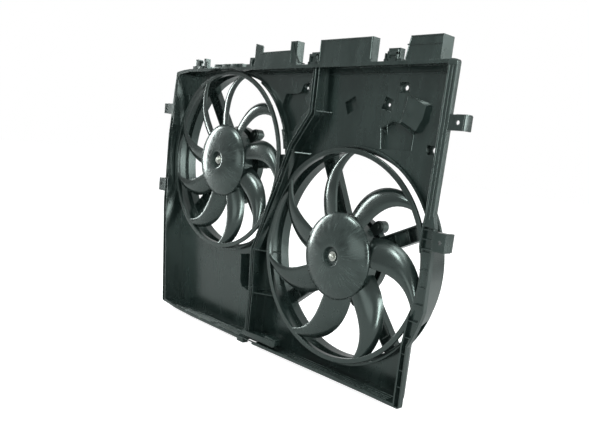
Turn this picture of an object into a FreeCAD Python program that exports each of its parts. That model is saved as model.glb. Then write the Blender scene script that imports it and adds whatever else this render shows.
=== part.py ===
import FreeCAD, Part
import math
import os
import re

# A twin cooling fan module for a vehicle's radiator: one moulded shroud that carries two
# ring fans, each on the shaft of its own electric motor, hung by four side brackets.
# Millimetres. +X is to the right seen from the front, +Y runs to the rear, +Z is up.
# The origin is the middle of the lower edge, in the plane of the front rim.

doc = FreeCAD.newDocument("radiator_fan")
sheet = doc.addObject("Spreadsheet::Sheet", "sizes")

SIZES = {
    # Overall size of the shroud; its outline is in OUTLINE below
    "frame_height": 550.0,
    "frame_width": 780.0,
    "corner_radius": 5.0,
    # Tray, plate and the seal channels at its sides
    "wall": 2.5,
    "plate_top_depth": 34.0,
    "plate_bottom_depth": 50.0,
    "left_channel": 12.0,
    "channel_depth": 9.0,
    "channel_wall": 2.0,
    "right_closed_height": 300.0,
    "left_closed_height": 440.0,
    "flange_height": 6.0,
    "rib_wall": 1.6,
    "rib_pitch": 28.0,
    "notch_left": -38.0,
    "notch_width": 30.0,
    "notch_low": -12.0,
    "notch_top": -1.5,
    "notch_depth": 20.0,
    # Divider between the two fans
    "divider_front": 8.0,
    "divider_width": 8.6,
    "divider_wall": 2.0,
    # Fans: places, ring, hub and blades
    "large_x": 179.5,
    "large_z": 214.5,
    "large_lip_radius": 193.5,
    "large_ring_radius": 187.0,
    "large_hub_radius": 74.3,
    "large_blades": 7.0,
    "large_blade_angle": -2.0,
    "large_blade_span_angle": 40.0,
    "small_x": -191.5,
    "small_z": 355.5,
    "small_lip_radius": 190.0,
    "small_ring_radius": 183.5,
    "small_hub_radius": 74.0,
    "small_blades": 9.0,
    "small_blade_angle": 8.0,
    "small_blade_span_angle": 29.0,
    "ring_front": 18.0,
    "ring_depth": 10.0,
    "ring_wall": 2.5,
    "lip_wall": 2.5,
    "lip_return": 5.0,
    "tip_gap": 9.0,
    "tip_clearance": 3.0,
    "hub_front": 12.0,
    "hub_depth": 34.0,
    "hub_wall": 3.0,
    "hub_face": 5.0,
    "hub_fillet": 10.0,
    "hub_boss_radius": 12.0,
    "hub_gap": 1.0,
    "recess_radius": 15.0,
    "recess_depth": 4.0,
    "blade_front": 20.0,
    "blade_root_rear": 43.0,
    "blade_tip_rear": 34.0,
    "blade_wall": 2.6,
    "blade_camber": 5.0,
    # Venturi barrels behind the plate
    "barrel_front": 33.0,
    "barrel_step": 56.0,
    "barrel_rear": 74.0,
    "barrel_wall": 2.5,
    "throat_step": 8.0,
    "bulge_front_radius": 211.0,
    "bulge_rear_radius": 203.0,
    "bulge_start": 370.0,
    "bead_width": 3.8,
    "bead_depth": 4.0,
    # Arms and ring that carry each motor
    "large_arm_1": 25.0,
    "large_arm_2": 117.0,
    "large_arm_3": 218.0,
    "large_arm_4": 309.0,
    "small_arm_1": 5.0,
    "small_arm_2": 128.0,
    "small_arm_3": 222.0,
    "small_arm_4": 310.0,
    "arm_width": 28.0,
    "arm_front": 59.0,
    "arm_wall": 2.4,
    "carrier_inner": 58.0,
    "carrier_outer": 77.0,
    "lug_circle": 84.0,
    "lug_radius": 11.0,
    "lug_angle": 48.0,
    # Motors
    "can_radius": 52.0,
    "can_wall": 2.0,
    "can_front": 30.0,
    "can_rear": 92.0,
    "ear_front": 55.5,
    "ear_wall": 2.5,
    "ear_radius": 10.0,
    "boss_radius": 15.0,
    "boss_length": 8.0,
    "cap_wall": 3.0,
    "bearing_radius": 11.0,
    "bearing_length": 7.0,
    "shaft_radius": 4.0,
    "shaft_front": 9.0,
    "shaft_clearance": 0.05,
    "shaft_end_gap": 0.5,
    "core_radius": 40.0,
    "core_front": 46.0,
    "core_length": 28.0,
    "winding_radius": 37.0,
    "winding_length": 7.0,
    "magnet_wall": 5.0,
    "magnet_span": 140.0,
    "commutator_radius": 13.0,
    "commutator_length": 8.0,
    "brush_gap": 0.3,
    "brush_length": 16.0,
    "brush_width": 8.0,
    "brush_height": 5.0,
    "spring_radius": 2.5,
    "holder_wall": 3.0,
    "holder_gap": 1.0,
    "socket_length": 26.0,
    "socket_width": 18.0,
    "socket_depth": 17.0,
    "socket_wall": 2.0,
    "socket_offset": 18.0,
    "pin_width": 2.8,
    # Fasteners and grommets of each motor
    "screw_radius": 3.0,
    "screw_clearance": 0.3,
    "screw_head_radius": 5.5,
    "screw_head_length": 4.0,
    "nut_length": 5.0,
    "grommet_radius": 7.0,
    "grommet_flange_radius": 10.0,
    "grommet_flange": 1.0,
    "hub_nut_radius": 5.8,
    "hub_nut_length": 4.0,
    # Side brackets
    "upper_bracket_z": 458.5,
    "lower_bracket_z": 279.5,
    "upper_bracket_height": 23.0,
    "lower_bracket_height": 30.0,
    "bracket_hole_x": 405.0,
    "left_bracket_reach": 9.0,
    "right_bracket_reach": 10.0,
    "bracket_depth": 18.0,
    "bracket_wall": 2.5,
    "bracket_hole_radius": 3.3,
    # Upstanding baffles and posts on the top edge
    "baffle_front": 1.0,
    "baffle_wall": 2.5,
    "baffle_1_left": -87.5,
    "baffle_1_right": 36.0,
    "baffle_1_sill": 574.0,
    "baffle_1_top": 591.5,
    "baffle_1_post": 23.0,
    "baffle_1_upright": 19.0,
    "baffle_1_return": 17.0,
    "baffle_2_left": 96.5,
    "baffle_2_right": 220.0,
    "baffle_2_top": 590.0,
    "baffle_2_return": 17.0,
    "baffle_3_left": 290.5,
    "baffle_3_right": 358.0,
    "baffle_3_lean": 7.0,
    "baffle_3_top": 587.0,
    "baffle_3_return": 28.0,
    "post_front": 8.0,
    "post_depth": 12.0,
    "post_foot": 4.0,
    # Mouldings on the face of the plate
    "pocket_depth": 9.0,
    "pad_wall": 2.0,
    "housing_rise": 10.0,
    "cut_margin": 1.0,
}

# The shroud's outline in X and Z from its lower right corner, going round by the top, and
# the inner face of the tray's right wall, at its front and, drawn in by the draft, at its rear.
OUTLINE = {
    "edge": [
        (375.5, -0.5), (373.5, 104.0), (379.5, 116.0), (387.5, 139.0), (394.5, 166.0),
        (393.0, 300.0), (387.5, 318.0), (390.5, 550.0), (-119.0, 548.0), (-318.0, 547.3),
        (-342.0, 545.6), (-371.7, 541.6), (-387.5, 400.0), (-387.5, 240.0), (-360.0, 1.0),
        (-300.0, -4.5), (-230.0, -6.5), (-60.0, -6.5), (30.0, -5.0), (200.0, -2.0),
        (300.0, -0.5),
    ],
    "front_wall": [
        (362.0, -0.5), (361.5, 104.0), (363.0, 116.0), (365.0, 139.0), (367.0, 166.0),
        (369.5, 300.0), (371.5, 318.0), (374.5, 550.0),
    ],
    "rear_wall": [
        (343.5, -0.5), (343.5, 104.0), (344.5, 116.0), (346.5, 139.0), (349.0, 166.0),
        (351.5, 300.0), (352.5, 318.0), (357.0, 550.0),
    ],
}
for line, points in OUTLINE.items():
    for i, (x, z) in enumerate(points, start=1):
        SIZES[f"{line}_{i}_x"] = x
        SIZES[f"{line}_{i}_z"] = z

for row, (alias, value) in enumerate(SIZES.items(), start=1):
    sheet.set(f"A{row}", alias)
    sheet.set(f"B{row}", str(value))
    sheet.setAlias(f"B{row}", alias)
doc.recompute()

FANS = ("large", "small")
TO_REAR = FreeCAD.Rotation(FreeCAD.Vector(1, 0, 0), -90)
sub_parts = []


def size(alias):
    return float(sheet.get(alias))


def formula(text):
    """The same text as an expression on the cells of the sheet."""
    return re.sub(
        r"[a-z][a-z_0-9]*",
        lambda word: "sizes." + word.group() if word.group() in SIZES else word.group(),
        str(text),
    )


def bind(item, **formulas):
    for name, text in formulas.items():
        item.setExpression(name.replace("__", "."), formula(text))
    return item


def label(item, node):
    item.Label = node
    sub_parts.append(item)
    return item


def box(name, x, y, z, length, depth, height):
    item = doc.addObject("Part::Box", name)
    bind(item, Length=length, Width=depth, Height=height)
    return bind(item, Placement__Base__x=x, Placement__Base__y=y, Placement__Base__z=z)


def cylinder(name, radius, front, length, x, z):
    """A cylinder along +Y whose front face is at y = front."""
    item = doc.addObject("Part::Cylinder", name)
    item.Placement = FreeCAD.Placement(FreeCAD.Vector(), TO_REAR)
    bind(item, Radius=radius, Height=length)
    return bind(item, Placement__Base__x=x, Placement__Base__y=front, Placement__Base__z=z)


def polar_box(name, fan, angle, start, reach, offset, thickness, front, depth):
    """A box along the radius at an angle, from a start radius, offset to its left."""
    item = doc.addObject("Part::Box", name)
    item.Placement.Rotation = FreeCAD.Rotation(FreeCAD.Vector(0, 1, 0), 1)
    bind(item, Length=reach, Width=depth, Height=thickness)
    bind(item, Placement__Rotation__Angle=f"-({angle})")
    return bind(
        item,
        Placement__Base__x=f"{fan}_x + ({start}) * cos({angle}) - ({offset}) * sin({angle})",
        Placement__Base__y=front,
        Placement__Base__z=f"{fan}_z + ({start}) * sin({angle}) + ({offset}) * cos({angle})",
    )


def polar_cylinder(name, fan, angle, distance, radius, front, length):
    return cylinder(
        name, radius, front, length,
        f"{fan}_x + ({distance}) * cos({angle})",
        f"{fan}_z + ({distance}) * sin({angle})",
    )


def fuse(name, parts):
    item = doc.addObject("Part::MultiFuse", name)
    item.Shapes = parts
    item.Refine = False
    return item


def cut(name, base, tool):
    item = doc.addObject("Part::Cut", name)
    item.Base = base
    item.Tool = tool
    item.Refine = False
    return item


def common(name, parts):
    item = doc.addObject("Part::MultiCommon", name)
    item.Shapes = parts
    item.Refine = False
    return item


def ring(name, outer, inner, front, length, x, z):
    body = cylinder(name + "_disc", outer, front, length, x, z)
    bore = cylinder(
        name + "_bore", inner, f"{front} - cut_margin", f"{length} + 2 * cut_margin", x, z
    )
    return cut(name, body, bore)


def fan_ring(name, fan, outer, inner, front, length):
    return ring(name, outer, inner, front, length, f"{fan}_x", f"{fan}_z")


def solid(name, shape):
    """An object for a shape that primitives don't describe."""
    item = doc.addObject("Part::Feature", name)
    item.Shape = shape
    return item


def prism_shape(corners, front, rear, rounding=0.0):
    """A polygon in X and Z, extruded along +Y."""
    points = [FreeCAD.Vector(x, front, z) for x, z in corners]
    face = Part.Face(Part.makePolygon(points + points[:1]))
    shape = face.extrude(FreeCAD.Vector(0, rear - front, 0))
    if rounding > 0:
        upright = [
            edge for edge in shape.Edges
            if abs(edge.Vertexes[0].X - edge.Vertexes[-1].X) < 1e-6
            and abs(edge.Vertexes[0].Z - edge.Vertexes[-1].Z) < 1e-6
        ]
        shape = shape.makeFillet(rounding, upright)
    return shape


def points_of(line):
    return [(size(f"{line}_{i}_x"), size(f"{line}_{i}_z"))
            for i in range(1, len(OUTLINE[line]) + 1)]


def outline(inset):
    """The shroud's outline, drawn in by a distance on every side."""
    middle = size("frame_height") / 2
    return [(x - math.copysign(inset, x), z - math.copysign(inset, z - middle))
            for x, z in points_of("edge")]


def tray_outline(right_line, wall, inset):
    """The tray's section: the right wall's line, then the outline drawn in elsewhere."""
    right = points_of(right_line)
    middle = size("frame_height") / 2
    section = [(x + wall, z) for x, z in right]
    for x, z in points_of("edge")[len(right):]:
        drawn_in = size("left_channel") - wall if x < size("small_x") - size("hub_depth") * 4 \
            else 0.0
        section.append((x + drawn_in, z))
    return [(x, z - math.copysign(inset, z - middle)) for x, z in section]


def tapered(wall, inset, front, rear):
    """The tray's section lofted from its front to its narrower rear."""
    wires = []
    for line, y in (("front_wall", front), ("rear_wall", rear)):
        corners = [FreeCAD.Vector(x, y, z) for x, z in tray_outline(line, wall, inset)]
        wires.append(Part.makePolygon(corners + corners[:1]))
    shape = Part.makeLoft(wires, True, True)
    return shape if shape.Volume > 0 else Part.makeLoft(wires[::-1], True, True)


def plate_depth(z):
    slope = (size("plate_bottom_depth") - size("plate_top_depth")) / size("frame_height")
    return size("plate_bottom_depth") - slope * z


def divider_path():
    """Points midway between the two rings, and on up and down to the tray's walls."""
    large = FreeCAD.Vector(size("large_x"), 0, size("large_z"))
    small = FreeCAD.Vector(size("small_x"), 0, size("small_z"))
    across = (large - small).normalize()
    along = FreeCAD.Vector(-across.z, 0, across.x)
    gap = (large - small).Length - size("large_lip_radius") - size("small_lip_radius")
    middle = small + across * (size("small_lip_radius") + gap / 2)
    upper = middle + along * 125
    lower = middle - along * 112
    foot = size("frame_height") * 0.18
    return [
        (lower.x + 7, 0.0),
        (lower.x + 7, foot),
        (lower.x, lower.z),
        (middle.x, middle.z),
        (upper.x, upper.z),
        (upper.x + 45, upper.z + 62),
        (upper.x + 45, size("frame_height")),
    ]


def band(path, half_width, front, rear):
    right = [(x + half_width, z) for x, z in path]
    left = [(x - half_width, z) for x, z in reversed(path)]
    return prism_shape(right + left, front, rear)


# Shroud: the tray with its plate, walls, side channels and divider

def plate():
    slab = doc.addObject("Part::Box", "plate_slab")
    slab.Placement.Rotation = FreeCAD.Rotation(FreeCAD.Vector(1, 0, 0), 1)
    tilt = "atan((plate_bottom_depth - plate_top_depth) / frame_height)"
    bind(slab, Length="2 * frame_width", Width="wall", Height="2 * frame_height")
    bind(slab, Placement__Rotation__Angle=tilt, Placement__Base__x="-frame_width")
    bind(
        slab,
        Placement__Base__y=f"plate_bottom_depth + frame_height / 2 * sin({tilt})",
        Placement__Base__z=f"-frame_height / 2 * cos({tilt})",
    )
    rear = size("plate_bottom_depth") + size("wall")
    field = solid("plate_field", tapered(size("wall"), 0, 0, rear))
    return common("plate", [slab, field])


def behind_plate():
    """Everything behind the plate, to trim the walls that run up to it."""
    block = doc.addObject("Part::Box", "rear_space")
    block.Placement.Rotation = FreeCAD.Rotation(FreeCAD.Vector(1, 0, 0), 1)
    tilt = "atan((plate_bottom_depth - plate_top_depth) / frame_height)"
    bind(block, Length="2 * frame_width", Width="frame_height")
    bind(block, Height="2 * frame_height", Placement__Base__x="-frame_width")
    bind(block, Placement__Rotation__Angle=tilt)
    return bind(
        block,
        Placement__Base__y=(
            f"plate_bottom_depth + wall * cos({tilt}) + frame_height / 2 * sin({tilt})"
        ),
        Placement__Base__z=f"-frame_height / 2 * cos({tilt})",
    )


def side_strips(name, front, rear, rounding=0.0):
    """The strips between the outline and the tray's cavity."""
    whole = solid(name + "_field", prism_shape(outline(0), front, rear, rounding))
    margin = size("cut_margin")
    cavity = solid(name + "_cavity", tapered(
        0, -margin, -margin, size("plate_bottom_depth") + size("wall")
    ))
    return cut(name, whole, cavity)


def tray_walls():
    rear = size("plate_bottom_depth") + size("wall")
    margin = size("cut_margin")
    wall = size("wall")
    flange = size("flange_height")
    rounding = size("corner_radius")

    shell = cut(
        "tray_shell",
        solid("tray_field", tapered(wall, 0, 0, rear)),
        solid("tray_cavity", tapered(0, wall, -margin, rear + margin)),
    )
    rim = cut(
        "rim",
        solid("rim_field", prism_shape(tray_outline("front_wall", wall, 0), 0, wall)),
        solid("rim_cavity", prism_shape(
            tray_outline("front_wall", 0, flange), -margin, wall + margin
        )),
    )
    lip = cut(
        "side_lip",
        solid("lip_field", prism_shape(outline(0), 0, size("channel_depth"), rounding)),
        solid("lip_cavity", prism_shape(
            outline(wall), -margin, size("channel_depth") + margin
        )),
    )
    return [shell, rim, lip]


def side_box(name, side, front, low, depth, height):
    """A slab across one half of the shroud, left or right of the middle."""
    start = "-frame_width" if side == "left" else "0"
    return box(name, start, front, low, "frame_width", depth, height)


def channels():
    depth = size("channel_depth")
    skin = size("channel_wall")
    rounding = size("corner_radius")
    fronts = []
    floors = []
    for side in ("left", "right"):
        closed = f"{side}_closed_height"
        fronts.append(side_box(f"{side}_above", side, "-cut_margin", closed,
                               "channel_depth", "frame_height"))
        floors.append(side_box(f"{side}_below", side, "0", "-cut_margin",
                               "2 * channel_depth", f"{closed} + cut_margin + channel_wall"))
    front = common("channel_front", [
        side_strips("closed_strips", 0, skin, rounding), fuse("above", fronts)
    ])
    floor = common("channel_floor", [
        side_strips("floor_strips", depth - skin, depth, rounding), fuse("below", floors)
    ])
    slabs = []
    for side in ("left", "right"):
        count = int((size(f"{side}_closed_height") - size("rib_pitch")) / size("rib_pitch"))
        for i in range(count):
            slabs.append(side_box(f"{side}_rib_{i + 1}", side, "1", f"{i + 1.25} * rib_pitch",
                                  "channel_depth - channel_wall", "rib_wall"))
        for i, step in enumerate((-1, 0, 1)):
            slabs.append(side_box(f"{side}_close_rib_{i + 1}", side, "1",
                                  f"lower_bracket_z + {step} * lower_bracket_height / 2",
                                  "channel_depth - channel_wall", "rib_wall"))
    ribs = common("channel_ribs", [
        side_strips("rib_strips", 1, depth, rounding), fuse("rib_slabs", slabs)
    ])
    return [front, floor, ribs]


def guard():
    """Where the small ring runs past the tray's walls, they bow out around it."""
    front = size("channel_depth") - size("channel_wall")
    shell = fan_ring("guard_shell", "small", "small_lip_radius + tip_clearance + barrel_wall",
                     "small_lip_radius + tip_clearance", front, f"barrel_front - {front}")
    cavity = solid("guard_cavity", tapered(
        0, size("wall"), 0, size("plate_bottom_depth") + size("wall")
    ))
    return cut("guard", shell, cavity)


def divider():
    path = divider_path()
    front = size("divider_front")
    rear = size("plate_bottom_depth") + size("wall")
    half = size("divider_width") / 2
    web = size("divider_wall")
    margin = size("cut_margin")
    stretched = [(path[0][0], -margin), *path[1:-1], (path[-1][0], path[-1][1] + margin)]
    webs = cut(
        "divider_webs",
        solid("divider_field", band(path, half, front, rear)),
        solid("divider_channel", band(stretched, half - web, front - margin, rear + margin)),
    )
    steps = []
    for i, (x, z) in enumerate(path[1:-1]):
        steps.append(solid(f"divider_step_{i + 1}", prism_shape(
            [(x - half, z - web / 2), (x + half, z - web / 2),
             (x + half, z + web / 2), (x - half, z + web / 2)],
            front + web, rear,
        )))
    return [webs, *steps]


def fan_reliefs():
    """Room for each ring, and a seat for each barrel and its bead."""
    reliefs = []
    for fan in FANS:
        bore = f"{fan}_ring_radius + tip_gap"
        x = f"{fan}_x"
        z = f"{fan}_z"
        reliefs.append(cylinder(f"{fan}_relief", f"{fan}_lip_radius + tip_clearance",
                                "-cut_margin", "barrel_front + cut_margin", x, z))
        reliefs.append(cylinder(f"{fan}_aperture", f"{bore} + barrel_wall",
                                "barrel_front", "2 * plate_bottom_depth", x, z))
        reliefs.append(cylinder(f"{fan}_bead_seat", f"{bore} + bead_width",
                                "barrel_front", "bead_depth", x, z))
    return reliefs


def tray():
    whole = fuse("tray_whole", [plate(), *tray_walls(), *channels(), *divider()])
    front_space = cut("tray_trimmed", whole, behind_plate())
    reliefs = fan_reliefs()
    reliefs.append(box(
        "notch", "notch_left", "-cut_margin", "notch_low",
        "notch_width", "notch_depth + cut_margin", "notch_top - notch_low",
    ))
    opened = cut("tray_opened", front_space, fuse("reliefs", reliefs))
    return fuse("tray", [opened, guard()])


# Shroud: the barrels behind the plate, and the arms that carry the motors

def barrel(fan):
    bore = f"{fan}_ring_radius + tip_gap"
    throat = f"{bore} - throat_step"
    return [
        fan_ring(f"{fan}_bead", fan, f"{bore} + bead_width", bore,
                 "barrel_front", "bead_depth"),
        fan_ring(f"{fan}_duct", fan, f"{bore} + barrel_wall", bore,
                 "barrel_front", "barrel_step - barrel_front"),
        fan_ring(f"{fan}_shoulder", fan, f"{bore} + barrel_wall", throat,
                 "barrel_step - barrel_wall", "barrel_wall"),
        fan_ring(f"{fan}_throat", fan, f"{throat} + barrel_wall", throat,
                 "barrel_step - barrel_wall", "barrel_rear - barrel_step + barrel_wall"),
        fan_ring(f"{fan}_rear_lip", fan, f"{throat} + 2 * barrel_wall", throat,
                 "barrel_rear - barrel_wall", "barrel_wall"),
    ]


def lug_angles():
    return [f"(lug_angle + {120 * i})" for i in range(3)]


def side_bulge():
    """The cone that closes the large barrel's side, from the channel's floor to its rear."""
    outer = doc.addObject("Part::Cone", "bulge_outer")
    inner = doc.addObject("Part::Cone", "bulge_inner")
    for cone, inset in ((outer, "0"), (inner, "barrel_wall")):
        cone.Placement = FreeCAD.Placement(FreeCAD.Vector(), TO_REAR)
        bind(cone, Radius1=f"bulge_front_radius - {inset}")
        bind(cone, Radius2=f"bulge_rear_radius - {inset}")
        bind(cone, Height="barrel_step - channel_depth", Placement__Base__x="large_x")
        bind(cone, Placement__Base__y="channel_depth", Placement__Base__z="large_z")
    shell = cut("bulge_shell", outer, inner)
    side = common("bulge", [shell, box(
        "bulge_side", "bulge_start", "0", "0", "frame_width", "barrel_rear", "frame_height"
    )])
    rim = common("bulge_rim", [
        fan_ring("bulge_flange", "large", "bulge_rear_radius",
                 "large_ring_radius + tip_gap", "barrel_step - barrel_wall", "barrel_wall"),
        box("rim_side", "large_x + large_hub_radius", "0", "0",
            "frame_width", "barrel_rear", "frame_height"),
    ])
    return [side, rim]


def barrel_and_carrier(fan):
    """The barrel, and the arms trimmed to end on the face of its bore."""
    bulge = side_bulge() if fan == "large" else []
    label(fuse(f"{fan}_barrel_body", [*barrel(fan), *bulge]), f"{fan}_barrel")
    bore = cylinder(f"{fan}_carrier_bore", f"{fan}_ring_radius + tip_gap - throat_step",
                    "arm_front - cut_margin", "barrel_rear - arm_front + 2 * cut_margin",
                    f"{fan}_x", f"{fan}_z")
    label(common(f"{fan}_carrier_body", [carrier(fan), bore]), f"{fan}_motor_carrier")


def carrier(fan):
    reach = f"{fan}_ring_radius + tip_gap - throat_step + 1 - (carrier_outer - 2)"
    depth = "barrel_rear - arm_front"
    parts = [
        fan_ring(f"{fan}_carrier_wall", fan, "carrier_outer", "carrier_outer - arm_wall",
                 "arm_front", depth),
        fan_ring(f"{fan}_carrier_neck", fan, "carrier_inner + arm_wall", "carrier_inner",
                 "arm_front", depth),
        fan_ring(f"{fan}_carrier_web", fan, "carrier_outer", "carrier_inner",
                 "barrel_rear - arm_wall", "arm_wall"),
    ]
    for i in range(1, 5):
        angle = f"{fan}_arm_{i}"
        name = f"{fan}_arm_{i}"
        parts.append(polar_box(
            name + "_web", fan, angle, "carrier_outer - 2", reach,
            "-arm_width / 2", "arm_width", "barrel_rear - arm_wall", "arm_wall",
        ))
        for side, offset in (("low", "-arm_width / 2"), ("high", "arm_width / 2 - arm_wall")):
            parts.append(polar_box(
                f"{name}_{side}_rib", fan, angle, "carrier_outer - 2", reach,
                offset, "arm_wall", "arm_front", depth,
            ))
        for j in range(1, 4):
            parts.append(polar_box(
                f"{name}_cross_{j}", fan, angle, f"carrier_outer + {j} * ({reach}) / 4",
                "rib_wall", "-arm_width / 2", "arm_width", "arm_front + arm_wall",
                f"{depth} - arm_wall",
            ))
    for i, angle in enumerate(lug_angles()):
        parts.append(polar_cylinder(
            f"{fan}_lug_{i + 1}", fan, angle, "lug_circle", "lug_radius", "arm_front", depth
        ))
    bores = [
        polar_cylinder(f"{fan}_lug_bore_{i + 1}", fan, angle, "lug_circle", "grommet_radius",
                       "arm_front - cut_margin", f"{depth} + 2 * cut_margin")
        for i, angle in enumerate(lug_angles())
    ]
    return cut(f"{fan}_carrier", fuse(f"{fan}_carrier_whole", parts),
               fuse(f"{fan}_lug_bores", bores))


# Shroud: baffles and posts on its top edge, and mouldings on the face of its plate

def baffle(name, corners, right, top, reach):
    front = size("baffle_front")
    skin = size("baffle_wall")
    panel = solid(name + "_panel", prism_shape(corners, front, front + skin))
    side = box(name + "_return", f"{right} - baffle_wall", "baffle_front",
               "frame_height - wall", "baffle_wall", reach, f"{top} - frame_height + wall")
    return [panel, side]


def baffles():
    foot = size("frame_height") - 2 * size("wall")
    left_1 = size("baffle_1_left")
    right_1 = size("baffle_1_right")
    sill_1 = size("baffle_1_sill")
    top_1 = size("baffle_1_top")
    post_1 = size("baffle_1_post")
    upright = size("baffle_1_upright")
    first = [
        (left_1, foot), (left_1, top_1), (left_1 + post_1, top_1 - post_1 / 4),
        (left_1 + post_1, sill_1), (right_1 - upright, sill_1),
        (right_1 - upright, top_1), (right_1, top_1), (right_1, foot),
    ]
    second = [
        (size("baffle_2_left"), foot), (size("baffle_2_left"), size("baffle_2_top")),
        (size("baffle_2_right"), size("baffle_2_top")), (size("baffle_2_right"), foot),
    ]
    third = [
        (size("baffle_3_left"), foot),
        (size("baffle_3_left") + size("baffle_3_lean"), size("baffle_3_top")),
        (size("baffle_3_right"), size("baffle_3_top")), (size("baffle_3_right"), foot),
    ]
    left_return = box("baffle_1_left_return", "baffle_1_left", "baffle_front",
                      "frame_height - wall", "baffle_wall", "baffle_1_return",
                      "baffle_1_top - frame_height + wall")
    return [
        *baffle("baffle_1", first, "baffle_1_right", "baffle_1_top", "baffle_1_return"),
        left_return,
        *baffle("baffle_2", second, "baffle_2_right", "baffle_2_top", "baffle_2_return"),
        *baffle("baffle_3", third, "baffle_3_right", "baffle_3_top", "baffle_3_return"),
    ]


def posts():
    parts = []
    base = "frame_height - 2 * wall"
    for name, x, width, top in (("post_1", -308, 10, 569), ("post_2", -276, 8, 570),
                                ("post_3", -112, 14, 567), ("post_4", 70, 22, 571),
                                ("post_5", 250, 24, 571)):
        parts.append(box(name, x, "post_front", base, width, "post_depth", f"{top} - ({base})"))
        parts.append(box(name + "_foot", x - 6, "post_front - 3", base, width + 12,
                         "post_depth + 6", "post_foot + 2 * wall"))
    parts.append(box("lug", -214, "post_front", base, 78, "post_depth", "post_foot + 3 * wall"))
    return parts


def on_plate(corners, offset):
    """Points on the sloping plate, a distance behind its front face."""
    return [FreeCAD.Vector(x, plate_depth(z) + offset, z) for x, z in corners]


def plate_prism(corners, front, rear):
    """A polygon on the sloping plate, extruded along +Y between two distances behind it."""
    points = on_plate(corners, front)
    face = Part.Face(Part.makePolygon(points + points[:1]))
    return face.extrude(FreeCAD.Vector(0, rear - front, 0))


def grown(corners, distance):
    """The polygon's corners after each side has moved outwards."""
    points = [FreeCAD.Vector(x, 0, z) for x, z in corners]
    face = Part.Face(Part.makePolygon(points + points[:1]))
    wire = face.makeOffset2D(distance, 2).OuterWire
    return [(vertex.X, vertex.Z) for vertex in wire.OrderedVertexes]


# Recesses in the plate: the corners of each, seen from the front
POCKETS = {
    "upper_pocket": [(260, 522), (280, 522), (282, 505), (261, 505)],
    "clip_pocket": [(233, 499), (252, 493), (247, 473), (226, 479)],
    "angled_pocket": [(140, 487), (163, 499), (172, 479), (149, 466)],
    "side_pocket": [(329, 424), (348, 424), (349, 409), (330, 409)],
    "corner_pocket": [(-21, 501), (7, 501), (21, 504), (27, 519), (44, 523), (43, 504),
                      (33, 495), (47, 473), (25, 456), (8, 430), (-4, 429), (-13, 454),
                      (-31, 478)],
    "ring_pocket": [(254, 458), (271, 455), (300, 438), (299, 413), (236, 411), (232, 445)],
}


def pocket_backs():
    skin = size("pad_wall")
    rear = size("pocket_depth") + size("wall")
    return [
        solid(name + "_back", plate_prism(grown(corners, skin), skin / 2, rear))
        for name, corners in POCKETS.items()
    ]


def pocket_spaces():
    return fuse("pocket_spaces", [
        solid(name, plate_prism(corners, -size("cut_margin"), size("pocket_depth")))
        for name, corners in POCKETS.items()
    ])


def facet():
    """A raised box with sloping sides above the large ring."""
    base = on_plate([(279, 501), (329, 488), (325, 461), (301, 439), (268, 454)],
                    size("pad_wall") / 2)
    top = on_plate([(289, 499), (326, 484), (322, 463), (311, 444), (281, 458)],
                   -size("housing_rise"))
    wires = [Part.makePolygon(points + points[:1]) for points in (base, top)]
    shape = Part.makeLoft(wires, True, True)
    return solid("facet", shape if shape.Volume > 0 else Part.makeLoft(wires[::-1], True, True))


def mouldings():
    return [*pocket_backs(), facet()]


def plate_holes():
    places = (("hole_1", 268, 514, 4.0), ("hole_2", 339, 417, 4.5), ("hole_3", 235, 486, 3.0),
              ("hole_4", 29, 513, 3.0))
    return fuse("plate_holes", [
        cylinder(name, radius, "0", "2 * plate_bottom_depth", x, z)
        for name, x, z, radius in places
    ])


def shroud():
    added = cut("added_mouldings", fuse("mouldings", [*posts(), *mouldings()]),
                fuse("moulding_reliefs", fan_reliefs()))
    parts = [tray(), *baffles(), added]
    whole = cut("shroud_opened", fuse("shroud_whole", parts), pocket_spaces())
    return label(cut("shroud_body", whole, plate_holes()), "shroud_panel")


# Fan wheels

def blade_section(radius, start_angle, end_angle, front, rear):
    """A closed cambered section: a chord from the leading to the trailing edge."""
    def place(angle, y):
        turn = math.radians(angle)
        return FreeCAD.Vector(radius * math.cos(turn), y, radius * math.sin(turn))

    lead = place(start_angle, front)
    trail = place(end_angle, rear)
    chord = trail - lead
    outward = place((start_angle + end_angle) / 2, 0).normalize()
    normal = outward.cross(chord).normalize()
    if normal.y > 0:
        normal = normal * -1
    middle = (lead + trail) * 0.5 + normal * size("blade_camber")
    half = size("blade_wall") / 2
    edge = normal * (half * 0.4)
    face = Part.Arc(lead + edge, middle + normal * half, trail + edge).toShape()
    back = Part.Arc(trail - edge, middle - normal * half, lead - edge).toShape()
    nose = Part.makeLine(lead - edge, lead + edge)
    tail = Part.makeLine(trail + edge, trail - edge)
    return Part.Wire([face, tail, back, nose])


def blade_shape(fan):
    """One blade, swept back towards the tip, wide at the root and narrow at the ring."""
    root = size(f"{fan}_hub_radius") - size("hub_wall") + 1
    tip = size(f"{fan}_ring_radius") - size("ring_wall") + 1
    span = size(f"{fan}_blade_span_angle")
    front = size("blade_front")
    root_rear = size("blade_root_rear")
    tip_rear = size("blade_tip_rear")
    sections = []
    for part in (0.0, 0.3, 0.55, 0.75, 0.9, 1.0):
        radius = root + part * (tip - root)
        lead = -1.0 - 14.0 * part ** 3
        width = span - (span - 9.0) * part ** 0.85
        rear = root_rear + (tip_rear - root_rear) * part
        sections.append(blade_section(radius, lead, lead + width, front + 2 * (1 - part), rear))
    return Part.makeLoft(sections, True, False)


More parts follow.
